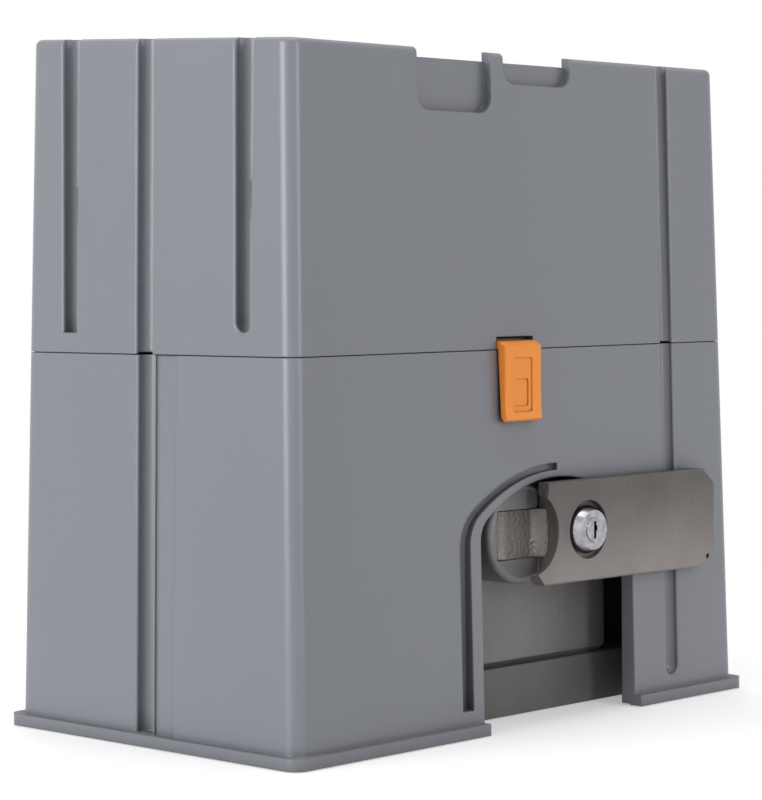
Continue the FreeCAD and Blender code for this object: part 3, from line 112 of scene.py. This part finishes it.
def cast_metal(name, colour, roughness, sand, metallic=0.35):
    # flow marks in the colour, an uneven polish and the sandy skin that a mould leaves
    finish, tree, shader, place = new_finish(name)
    flow = add_noise(tree, place, scale=18.0, detail=6.0, stretch=(1.0, 1.0, 0.5))
    paint = ramp_between(tree, flow, tinted(colour, 0.78), tinted(colour, 1.2))
    tree.links.new(paint, shader.inputs["Base Color"])
    shader.inputs["Metallic"].default_value = metallic
    smear = add_noise(tree, place, scale=45.0)
    vary_roughness(tree, shader, smear, roughness - 0.08, roughness + 0.12)
    pits = add_noise(tree, place, scale=520.0, detail=6.0)
    add_relief(tree, shader, pits, strength=sand, distance=0.0005, edge=0.0008)
    return finish


def coat(finish, *names):
    for name in names:
        nodes[name].data.materials.clear()
        nodes[name].data.materials.append(finish)


base_primer = linear(104, 101, 101)
coat(cast_metal("primed_casting", base_primer, roughness=0.46, sand=0.5), "base_frame")


# ---- gear case ---------------------------------------------------------------
# The gear case, its rear cover and the motor's end bell are die castings in a lighter primer than
# the base, partly painted light for the boss out in front, with a faint flow pattern and a sandy
# skin. They bolt to each other.
# painted light, in part: this primer is lighter than the base's, standing in for the light on the boss
case_primer_partly_painted_light = linear(124, 121, 121)
coat(cast_metal("primed_gear_case_partly_painted_light", case_primer_partly_painted_light, roughness=0.44, sand=0.5),
     "gear_case", "case_cover", "end_bell")


# ---- screws, pins and bearings -------------------------------------------------
# Screws, pins and bearings are bright steel, and turning leaves fine rings round the axis
# of each. The lock's keeper and the capacitor's clip are stamped and zinc plated.
def add_bands(tree, place, direction, scale, distortion=0.0):
    bands = tree.nodes.new("ShaderNodeTexWave")
    bands.bands_direction = direction
    bands.inputs["Scale"].default_value = scale
    bands.inputs["Distortion"].default_value = distortion
    tree.links.new(place.outputs["Object"], bands.inputs["Vector"])
    return bands.outputs["Fac"]


def turned_steel(name, colour, roughness, ring_axis, ring_scale=900.0):
    finish, tree, shader, place = new_finish(name)
    rings = add_bands(tree, place, ring_axis, ring_scale, distortion=1.5)
    stain = add_noise(tree, place, scale=120.0)
    metal = ramp_between(tree, stain, tinted(colour, 0.86), tinted(colour, 1.1))
    tree.links.new(metal, shader.inputs["Base Color"])
    shader.inputs["Metallic"].default_value = 1.0
    shader.inputs["Roughness"].default_value = roughness
    add_relief(tree, shader, rings, strength=0.12, distance=0.0001, edge=0.0003)
    return finish


bright_steel = linear(178, 178, 180)
along_x = turned_steel("steel_turned_along_x", bright_steel, roughness=0.32, ring_axis="X")
along_y = turned_steel("steel_turned_along_y", bright_steel, roughness=0.32, ring_axis="Y")
along_z = turned_steel("steel_turned_along_z", bright_steel, roughness=0.32, ring_axis="Z")
coat(along_x, "board_screws", "front_latch_pin", "rear_latch_pin", "clutch_pin")
coat(along_y, "cover_screws", "front_bearing", "rear_bearing")
coat(along_z, "case_bolts", "skirt_screws", "motor_bolts", "lever_hinge_pin",
     "worm_foot_bearing", "worm_head_bearing", "motor_top_bearing")

zinc = linear(168, 166, 158)
coat(turned_steel("zinc_plate", zinc, roughness=0.38, ring_axis="Z", ring_scale=40.0),
     "lock_keeper", "capacitor_clip")


# ---- seals and black mouldings ---------------------------------------------------
# The shaft seal and the seam's seal are pressed rubber. The oil plug, the fan and the small
# electrical bodies are glossy black mouldings, and the board's bracket is dull black nylon.
def soft_rubber(name, colour):
    finish, tree, shader, place = new_finish(name)
    bloom = add_noise(tree, place, scale=70.0)
    skin = ramp_between(tree, bloom, tinted(colour, 0.8), tinted(colour, 1.3))
    tree.links.new(skin, shader.inputs["Base Color"])
    shader.inputs["Roughness"].default_value = 0.75
    add_relief(tree, shader, bloom, strength=0.2, distance=0.0002, edge=0.0004)
    return finish


def moulded_plastic(name, colour, roughness, grain, spread=0.06, edge=0.0006):
    # clouds in the colour, an uneven gloss and the fine grain of the mould
    finish, tree, shader, place = new_finish(name)
    cloud = add_noise(tree, place, scale=9.0, detail=5.0, stretch=(1.0, 1.0, 0.35))
    skin = ramp_between(tree, cloud, tinted(colour, 1 - spread), tinted(colour, 1 + spread))
    tree.links.new(skin, shader.inputs["Base Color"])
    gloss = add_noise(tree, place, scale=60.0, detail=3.0)
    vary_roughness(tree, shader, gloss, roughness - 0.04, roughness + 0.05)
    fine = add_noise(tree, place, scale=2600.0, detail=2.0)
    add_relief(tree, shader, fine, strength=grain, distance=0.0002, edge=edge)
    return finish


coat(soft_rubber("black_rubber", linear(34, 34, 35)), "shaft_seal", "rim_seal")
coat(moulded_plastic("black_gloss_plastic", linear(30, 30, 32), roughness=0.3, grain=0.1),
     "oil_plug", "cooling_fan", "relays", "control_chip", "button_body", "limit_sensor")
coat(moulded_plastic("black_nylon", linear(46, 46, 48), roughness=0.55, grain=0.35),
     "board_bracket")


# ---- output shaft, wheel and pinion --------------------------------------------
# A bronze worm wheel is pressed on a steel hub that turns freely on the shaft until the
# dog clutch joins them. The rack pinion is cut from bar steel and keyed on at the back.
bronze = linear(186, 142, 84)
hobbed_steel = linear(150, 150, 152)
coat(along_y, "output_shaft", "wheel_hub", "clutch_sleeve", "clutch_spring", "release_rod",
     "pinion_key", "pinion_washer", "pinion_bolt")
coat(turned_steel("bronze", bronze, roughness=0.34, ring_axis="Y", ring_scale=500.0), "wheel_rim")
coat(turned_steel("hobbed_steel", hobbed_steel, roughness=0.36, ring_axis="Y", ring_scale=700.0),
     "pinion")


# ---- motor ---------------------------------------------------------------------
# The motor stands on the gear case: a finned cast housing, laminated core, varnished
# winding ends, and a fan under a painted cowl. Its shaft is cut as the worm below.
def laminated(name, direction):
    finish, tree, shader, place = new_finish(name)
    stack = add_bands(tree, place, direction, scale=320.0)
    iron = ramp_between(tree, stack, tinted(core_iron, 0.7), tinted(core_iron, 1.15), start=0.1, end=0.6)
    tree.links.new(iron, shader.inputs["Base Color"])
    shader.inputs["Metallic"].default_value = 0.8
    shader.inputs["Roughness"].default_value = 0.45
    add_relief(tree, shader, stack, strength=0.4, distance=0.0003)
    return finish


def wound(name, colour):
    # turns of wire lying on each other, under a coat of varnish
    finish, tree, shader, place = new_finish(name)
    turns = add_bands(tree, place, "Z", scale=240.0, distortion=0.6)
    wire = ramp_between(tree, turns, tinted(colour, 0.55), tinted(colour, 1.2), start=0.2, end=0.8)
    tree.links.new(wire, shader.inputs["Base Color"])
    shader.inputs["Metallic"].default_value = 0.5
    shader.inputs["Roughness"].default_value = 0.35
    add_relief(tree, shader, turns, strength=0.7, distance=0.0005)
    return finish


housing_grey = linear(96, 96, 98)
core_iron = linear(92, 92, 96)
copper = linear(176, 98, 58)
cowl_black = linear(38, 38, 40)
coat(along_z, "worm_shaft")
coat(cast_metal("motor_casting", housing_grey, roughness=0.45, sand=0.35), "motor_housing")
coat(laminated("laminated_iron", "Z"), "stator_core", "rotor_core")
coat(wound("varnished_copper", copper), "stator_winding")
coat(moulded_plastic("satin_black_paint", cowl_black, roughness=0.4, grain=0.2), "fan_cowl")


# ---- control board ---------------------------------------------------------------
# The board is lacquered glass laminate on a moulded bracket, with terminal blocks, relays,
# one controller and a push button on it. The transformer and capacitor stand on the base.
def lacquered_board(name):
    finish, tree, shader, place = new_finish(name)
    tracks = tree.nodes.new("ShaderNodeTexBrick")
    tracks.inputs["Scale"].default_value = 190.0
    tracks.inputs["Mortar Size"].default_value = 0.035
    tracks.inputs["Color1"].default_value = linear(30, 82, 48)
    tracks.inputs["Color2"].default_value = linear(34, 90, 52)
    tracks.inputs["Mortar"].default_value = linear(62, 128, 78)
    upright = tree.nodes.new("ShaderNodeMapping")
    upright.inputs["Rotation"].default_value = (0.0, math.pi / 2, 0.0)
    tree.links.new(place.outputs["Object"], upright.inputs["Vector"])
    tree.links.new(upright.outputs["Vector"], tracks.inputs["Vector"])
    tree.links.new(tracks.outputs["Color"], shader.inputs["Base Color"])
    shader.inputs["Roughness"].default_value = 0.28
    add_relief(tree, shader, tracks.outputs["Fac"], strength=0.3, distance=0.0001)
    return finish


terminal_grey = linear(128, 140, 132)
button_white = linear(222, 222, 218)
can_white = linear(214, 214, 210)
coil_tape = linear(196, 166, 72)
coat(lacquered_board("green_lacquer"), "control_board")
coat(moulded_plastic("terminal_grey", terminal_grey, roughness=0.42, grain=0.2), "terminal_blocks")
coat(moulded_plastic("button_white", button_white, roughness=0.35, grain=0.1), "program_button")
coat(moulded_plastic("capacitor_can", can_white, roughness=0.35, grain=0.15), "capacitor")
coat(laminated("laminated_transformer_iron", "Y"), "transformer_core")
coat(wound("taped_coil", coil_tape), "transformer_coil")


# ---- release lever -----------------------------------------------------------------
# The lever is a zinc casting sprayed in satin grey. Painted reflection makes it lighter towards
# its lower edge and darker at the top. It swings out on the pin in the boss, its curved tongue pushes
# the release rod, and the nose of its lock stands in a recess bored into the plate.
def casting_with_painted_reflection(name, colour, low, high, lightest=1.4, darkest=0.66):
    # painted reflection: the colour grows lighter from the top of the plate to its bottom, with a ragged
    # edge
    finish = cast_metal(name, colour, roughness=0.38, sand=1.0, metallic=0.6)
    tree = finish.node_tree
    shader = tree.nodes["Principled BSDF"]
    paint = shader.inputs["Base Color"].links[0].from_socket
    place = tree.nodes.new("ShaderNodeTexCoord")
    height = tree.nodes.new("ShaderNodeSeparateXYZ")
    tree.links.new(place.outputs["Object"], height.inputs["Vector"])
    patches = add_noise(tree, place, scale=34.0, detail=5.0, stretch=(0.5, 1.0, 1.0))
    raggedness = 0.018
    ragged = tree.nodes.new("ShaderNodeMath")
    ragged.operation = "MULTIPLY_ADD"
    ragged.inputs[1].default_value = raggedness
    tree.links.new(patches, ragged.inputs[0])
    tree.links.new(height.outputs["Z"], ragged.inputs[2])
    # painted reflection: lighter low on the plate, darker at the top
    painted_reflection = tree.nodes.new("ShaderNodeMapRange")
    painted_reflection.interpolation_type = "SMOOTHSTEP"
    painted_reflection.inputs["From Min"].default_value = low + raggedness / 2
    painted_reflection.inputs["From Max"].default_value = high + raggedness / 2
    painted_reflection.inputs["To Min"].default_value = lightest
    painted_reflection.inputs["To Max"].default_value = darkest
    tree.links.new(ragged.outputs["Value"], painted_reflection.inputs["Value"])
    product = tree.nodes.new("ShaderNodeVectorMath")
    product.operation = "SCALE"
    tree.links.new(paint, product.inputs[0])
    tree.links.new(painted_reflection.outputs["Result"], product.inputs["Scale"])
    tree.links.new(product.outputs["Vector"], shader.inputs["Base Color"])
    return finish


def place_in_scene(name, mesh):
    piece = bpy.data.objects.new(name, mesh)
    bpy.context.scene.collection.objects.link(piece)
    return piece


def mesh_from(name, shape):
    mesh = bpy.data.meshes.new(name)
    shape.to_mesh(mesh)
    shape.free()
    return mesh


def round_cutter(name, centre, radius, depth):
    # a short bar along Y that bores a blind recess from the front
    shape = bmesh.new()
    turn_to_y = Matrix.Rotation(math.pi / 2, 4, "X")
    bmesh.ops.create_cone(shape, cap_ends=True, segments=96, radius1=radius, radius2=radius, depth=depth,
                          matrix=Matrix.Translation(centre) @ turn_to_y)
    return place_in_scene(name, mesh_from(name, shape))


def welded_copy(name, source):
    # the same form with its doubled edge points joined and its flat faces whole, ready to bore
    weld_within, flat_within = 1e-6, math.radians(0.2)
    shape = bmesh.new()
    shape.from_mesh(source)
    bmesh.ops.remove_doubles(shape, verts=shape.verts, dist=weld_within)
    bmesh.ops.dissolve_limit(shape, angle_limit=flat_within, verts=shape.verts, edges=shape.edges)
    return place_in_scene(name, mesh_from(name, shape))


def bored(blank, cutter, crease):
    # the blank's form with the recess in it, smooth where faces meet at less than the crease angle
    cut = blank.modifiers.new("recess", "BOOLEAN")
    cut.operation = "DIFFERENCE"
    cut.solver = "EXACT"
    cut.object = cutter
    mesh = bpy.data.meshes.new_from_object(blank.evaluated_get(bpy.context.evaluated_depsgraph_get()))
    if "custom_normal" in mesh.attributes:
        mesh.attributes.remove(mesh.attributes["custom_normal"])
    mesh.shade_smooth()
    mesh.set_sharp_from_angle(angle=crease)
    return mesh


recess_gap, recess_depth = 0.0022, 0.0034
lever_grey = linear(116, 111, 109)
lever_low, lever_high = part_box("lever")
lock_low, lock_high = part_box("lock_body")
lock_middle = (lock_low + lock_high) / 2
nose_radius = (lock_high.x - lock_low.x) / 2
bore = round_cutter("recess_bore", (lock_middle.x, lever_low.y, lock_middle.z), nose_radius + recess_gap,
                    2 * recess_depth)
blank = welded_copy("lever_blank", nodes["lever"].data)
lever_casting = place_in_scene("lever_casting", bored(blank, bore, crease=math.radians(24.0)))
bpy.data.objects.remove(blank)
bpy.data.objects.remove(bore)
lever_casting.data.materials.clear()
# painted reflection: the lever's colour lightens towards its lower edge
lever_casting.data.materials.append(casting_with_painted_reflection("paint_with_painted_reflection", lever_grey, lever_low.z, lever_high.z))
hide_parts("lever")
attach(lever_casting, "lever")


# ---- key lock --------------------------------------------------------------------------
# A cam lock: the body and the key cylinder are brass, turned and chrome plated. A steel nut
# behind the lever clamps the body, and a steel cam on the cylinder turns behind the keeper.
def polished_chrome(name):
    finish, tree, shader, place = new_finish(name)
    haze = add_noise(tree, place, scale=300.0, detail=3.0)
    plating = ramp_between(tree, haze, linear(150, 147, 153), linear(186, 183, 189))
    tree.links.new(plating, shader.inputs["Base Color"])
    shader.inputs["Metallic"].default_value = 1.0
    shader.inputs["Roughness"].default_value = 0.12
    add_relief(tree, shader, haze, strength=0.05, distance=0.0001, edge=0.0004)
    return finish


coat(polished_chrome("chrome"), "lock_body", "key_cylinder")
coat(along_y, "lock_nut", "lock_cam")


# ---- cover ---------------------------------------------------------------------------
# Skirt and hood are injection moulded in a blue-grey plastic with a fine spark-eroded
# grain. The walls taper, and vertical channels stiffen them. The mould's upward faces are
# eroded coarser, so that the roof doesn't show scratches.
def coarser_tops(finish, coarse):
    tree = finish.node_tree
    shader = tree.nodes["Principled BSDF"]
    polish = shader.inputs["Roughness"].links[0].from_socket
    place = tree.nodes.new("ShaderNodeTexCoord")
    facing = tree.nodes.new("ShaderNodeSeparateXYZ")
    tree.links.new(place.outputs["Normal"], facing.inputs["Vector"])
    upward = tree.nodes.new("ShaderNodeMapRange")
    upward.interpolation_type = "SMOOTHSTEP"
    upward.inputs["From Min"].default_value = 0.75
    upward.inputs["From Max"].default_value = 0.97
    tree.links.new(facing.outputs["Z"], upward.inputs["Value"])
    level = tree.nodes.new("ShaderNodeMix")
    level.inputs["B"].default_value = coarse
    tree.links.new(upward.outputs["Result"], level.inputs["Factor"])
    tree.links.new(polish, level.inputs["A"])
    tree.links.new(level.outputs["Result"], shader.inputs["Roughness"])


def paint_shade_in_hollows(finish, reach, darkest=0.38):
    # painted shade: the colour darkens in channels, joints and recesses, where the form closes in and
    # shade falls
    tree = finish.node_tree
    shader = tree.nodes["Principled BSDF"]
    skin = shader.inputs["Base Color"].links[0].from_socket
    hollow = tree.nodes.new("ShaderNodeAmbientOcclusion")
    hollow.samples = 8
    hollow.inputs["Distance"].default_value = reach
    painted_shade, unshaded = (darkest, darkest, darkest, 1.0), (1.0, 1.0, 1.0, 1.0)
    shade = ramp_between(tree, hollow.outputs["AO"], painted_shade, unshaded, start=0.25, end=0.9)
    product = tree.nodes.new("ShaderNodeMixRGB")
    product.blend_type = "MULTIPLY"
    product.inputs["Fac"].default_value = 1.0
    tree.links.new(skin, product.inputs["Color1"])
    tree.links.new(shade, product.inputs["Color2"])
    tree.links.new(product.outputs["Color"], shader.inputs["Base Color"])


cover_grey = moulded_plastic("cover_grey", linear(121, 124, 132), roughness=0.33, grain=0.1,
                             spread=0.035, edge=0.0011)
cover_grey.node_tree.nodes["Principled BSDF"].inputs["Specular IOR Level"].default_value = 0.85
# painted shade in the channels, joints and recesses of the skirt and hood
paint_shade_in_hollows(cover_grey, reach=0.0095)
coarser_tops(cover_grey, coarse=0.85)
coat(cover_grey, "skirt", "hood")


# ---- latches ---------------------------------------------------------------------------
# Each latch is a small satin orange moulding that hangs from the hood on a steel pin and
# hooks into a channel in the skirt.
latch_orange = moulded_plastic("latch_orange", linear(255, 152, 54), roughness=0.34, grain=0.15,
                               spread=0.04, edge=0.0005)
# painted shade in the latch's hollows
paint_shade_in_hollows(latch_orange, reach=0.003)
coat(latch_orange, "front_latch", "rear_latch")


# ---- lamps -----------------------------------------------------------------------------
# Four soft boxes on stands: a large one on the left, a tall narrow one in front, and two
# square ones, overhead and behind. A white surround fills the shadows a little.
def lamp(name, place, target, size, power):
    light = bpy.data.lights.new(name, "AREA")
    light.shape = "RECTANGLE"
    light.size, light.size_y = size
    light.energy = power
    holder = place_in_scene(name, light)
    holder.location = place
    holder.rotation_euler = (Vector(target) - Vector(place)).to_track_quat("-Z", "Y").to_euler()


def larger_of(tree, first, second):
    step = tree.nodes.new("ShaderNodeMath")
    step.operation = "MAXIMUM"
    tree.links.new(first, step.inputs[0])
    tree.links.new(second, step.inputs[1])
    return step.outputs["Value"]


lamp("left_softbox", place=(-1.5, 0.15, 0.6), target=(0.0, 0.0, 0.16), size=(0.8, 1.2), power=14.0)
lamp("front_softbox", place=(0.15, -1.7, 0.6), target=(0.0, 0.0, 0.14), size=(0.26, 1.1), power=5.8)
lamp("overhead_softbox", place=(0.1, -0.1, 1.6), target=(0.0, 0.0, 0.2), size=(1.2, 1.2), power=7.0)
lamp("rear_softbox", place=(0.9, 1.2, 1.4), target=(0.0, 0.0, 0.15), size=(0.9, 0.9), power=8.0)

white = (1.0, 1.0, 1.0, 1.0)
fill_light, plain_white = 0.42, 1.0
world = bpy.data.worlds.new("surround")
bpy.context.scene.world = world
world.use_nodes = True
sky = world.node_tree
backdrop = sky.nodes["Background"]
backdrop.inputs["Color"].default_value = white
rays = sky.nodes.new("ShaderNodeLightPath")
seen = larger_of(sky, rays.outputs["Is Camera Ray"], rays.outputs["Is Glossy Ray"])
seen = larger_of(sky, seen, rays.outputs["Is Transmission Ray"])
strength = sky.nodes.new("ShaderNodeMapRange")
strength.inputs["To Min"].default_value = fill_light
strength.inputs["To Max"].default_value = plain_white
sky.links.new(seen, strength.inputs["Value"])
sky.links.new(strength.outputs["Result"], backdrop.inputs["Strength"])


# ---- floor -----------------------------------------------------------------------------
# A sheet of pale paper on the ground. It takes the object's shadow, runs out into the white
# surround away from it, and is clear from below, so that the underside can be looked at.
def scaled_by(tree, value, factor):
    # the factor is a plain number or another node's output
    step = tree.nodes.new("ShaderNodeMath")
    step.operation = "MULTIPLY"
    tree.links.new(value, step.inputs[0])
    if isinstance(factor, float):
        step.inputs[1].default_value = factor
    else:
        tree.links.new(factor, step.inputs[1])
    return step.outputs["Value"]


def mixed(tree, share, first, second):
    mix = tree.nodes.new("ShaderNodeMixShader")
    tree.links.new(share, mix.inputs["Fac"])
    tree.links.new(first, mix.inputs[1])
    tree.links.new(second, mix.inputs[2])
    return mix.outputs["Shader"]


def pale_paper(name, glow, fade_start, fade_end):
    finish, tree, shader, place = new_finish(name)
    shader.inputs["Base Color"].default_value = (0.82, 0.82, 0.82, 1.0)
    shader.inputs["Roughness"].default_value = 0.9
    shader.inputs["Specular IOR Level"].default_value = 0.0
    shader.inputs["Emission Color"].default_value = white
    paths = tree.nodes.new("ShaderNodeLightPath")
    looked_at = larger_of(tree, paths.outputs["Is Camera Ray"], paths.outputs["Is Glossy Ray"])
    tree.links.new(scaled_by(tree, looked_at, glow), shader.inputs["Emission Strength"])
    from_middle = tree.nodes.new("ShaderNodeVectorMath")
    from_middle.operation = "LENGTH"
    tree.links.new(place.outputs["Object"], from_middle.inputs[0])
    fade = tree.nodes.new("ShaderNodeMapRange")
    fade.interpolation_type = "SMOOTHSTEP"
    fade.inputs["From Min"].default_value = fade_start
    fade.inputs["From Max"].default_value = fade_end
    tree.links.new(from_middle.outputs["Value"], fade.inputs["Value"])
    faded = scaled_by(tree, fade.outputs["Result"], looked_at)
    surround = tree.nodes.new("ShaderNodeEmission")
    surround.inputs["Color"].default_value = white
    above = mixed(tree, faded, shader.outputs["BSDF"], surround.outputs["Emission"])
    side = tree.nodes.new("ShaderNodeNewGeometry")
    clear = tree.nodes.new("ShaderNodeBsdfTransparent")
    one_sided = mixed(tree, side.outputs["Backfacing"], above, clear.outputs["BSDF"])
    tree.links.new(one_sided, tree.nodes["Material Output"].inputs["Surface"])
    return finish


floor_reach, floor_drop = 6.0, 0.0004
sheet = bmesh.new()
bmesh.ops.create_grid(sheet, x_segments=2, y_segments=2, size=floor_reach)
floor = place_in_scene("floor", mesh_from("floor", sheet))
floor.location.z = -floor_drop
floor.data.materials.append(pale_paper("pale_paper", glow=0.36, fade_start=0.24, fade_end=0.62))


# ---- camera ----------------------------------------------------------------------------
# The camera stands 1.2 m off the front left corner, a little above the seam, and looks
# slightly down through a long lens.
camera_place = (-0.895, -0.848, 0.197)
turn, tilt, roll = math.radians(-46.28), math.radians(2.71), math.radians(-0.44)
back = Vector((math.sin(turn) * math.cos(tilt), -math.cos(turn) * math.cos(tilt), math.sin(tilt)))
level_right = Vector((math.cos(turn), math.sin(turn), 0.0))
level_up = back.cross(level_right)
right = level_right * math.cos(roll) + level_up * math.sin(roll)
up = level_up * math.cos(roll) - level_right * math.sin(roll)
lens = bpy.data.cameras.new("camera")
lens.lens = 122.4
lens.shift_x = 0.0075
lens.shift_y = 0.001
camera = place_in_scene("camera", lens)
aim = Matrix((right, up, back)).transposed().to_4x4()
camera.matrix_world = Matrix.Translation(camera_place) @ aim
bpy.context.scene.camera = camera
bpy.context.scene.view_settings.view_transform = "Standard"
